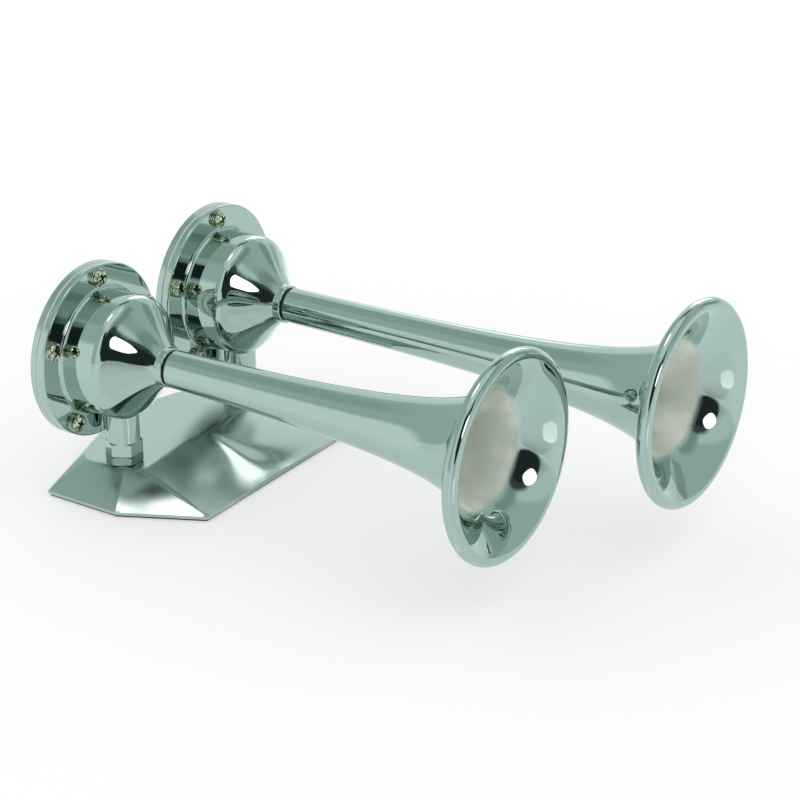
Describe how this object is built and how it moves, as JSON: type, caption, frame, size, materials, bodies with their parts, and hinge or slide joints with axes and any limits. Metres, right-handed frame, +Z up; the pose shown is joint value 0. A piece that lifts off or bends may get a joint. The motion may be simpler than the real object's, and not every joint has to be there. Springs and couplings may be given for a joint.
{
  "type": "dual-tone air horn",
  "caption": "Pair of chromed air horns of different length on a faceted base plate, each turning on its hollow stem, with drum chambers and flared bells.",
  "frame": {"origin": "midway between the two stem axes, on the underside of the base gasket", "axes": "+X out of the bells along the horns, +Y from the short horn to the long horn, +Z up"},
  "size_m": [0.2709, 0.1678, 0.104],
  "materials": {
    "chrome": "mirror-bright chrome plate on castings and spun tube",
    "plated_screw": "yellowish zinc-plated steel",
    "brass": "machined brass",
    "spring_steel": "rolled spring steel",
    "rubber": "matt black rubber"
  },
  "bodies": {
    "base": {"base_plate": "chrome", "base_gasket": "rubber", "short_lock_nut": "chrome", "short_stem_washer": "spring_steel", "short_under_nut": "chrome", "long_lock_nut": "chrome", "long_stem_washer": "spring_steel", "long_under_nut": "chrome"},
    "short_horn": {"short_stem": "chrome", "short_front_body": "chrome", "short_rear_cover": "chrome", "short_cover_gasket": "rubber", "short_throat_nozzle": "brass", "short_neck_seal": "rubber", "short_trumpet": "chrome", "short_cover_screw_1": "plated_screw", "short_cover_screw_2": "plated_screw", "short_cover_screw_3": "plated_screw", "short_cover_screw_4": "plated_screw", "short_cover_screw_5": "plated_screw"},
    "short_diaphragm_disc": {"short_diaphragm": "spring_steel"},
    "long_horn": {"long_stem": "chrome", "long_front_body": "chrome", "long_rear_cover": "chrome", "long_cover_gasket": "rubber", "long_throat_nozzle": "brass", "long_neck_seal": "rubber", "long_trumpet": "chrome", "long_cover_screw_1": "plated_screw", "long_cover_screw_2": "plated_screw", "long_cover_screw_3": "plated_screw", "long_cover_screw_4": "plated_screw", "long_cover_screw_5": "plated_screw"},
    "long_diaphragm_disc": {"long_diaphragm": "spring_steel"}
  },
  "joints": [
    {"name": "short_horn_swivel", "type": "hinge", "parent": "base", "child": "short_horn", "pos_m": [0, -0.04093, 0.013], "axis": [0, 0, 1], "range_deg": [-30, 2]},
    {"name": "short_diaphragm_stroke", "type": "slide", "parent": "short_horn", "child": "short_diaphragm_disc", "axis": [1, 0, 0], "range_m": [-0.00015, 0.00015], "stiffness_N_per_m": 2000},
    {"name": "long_horn_swivel", "type": "hinge", "parent": "base", "child": "long_horn", "pos_m": [0, 0.04093, 0.013], "axis": [0, 0, 1], "range_deg": [-2, 30]},
    {"name": "long_diaphragm_stroke", "type": "slide", "parent": "long_horn", "child": "long_diaphragm_disc", "axis": [1, 0, 0], "range_m": [-0.00015, 0.00015], "stiffness_N_per_m": 2000}
  ]
}
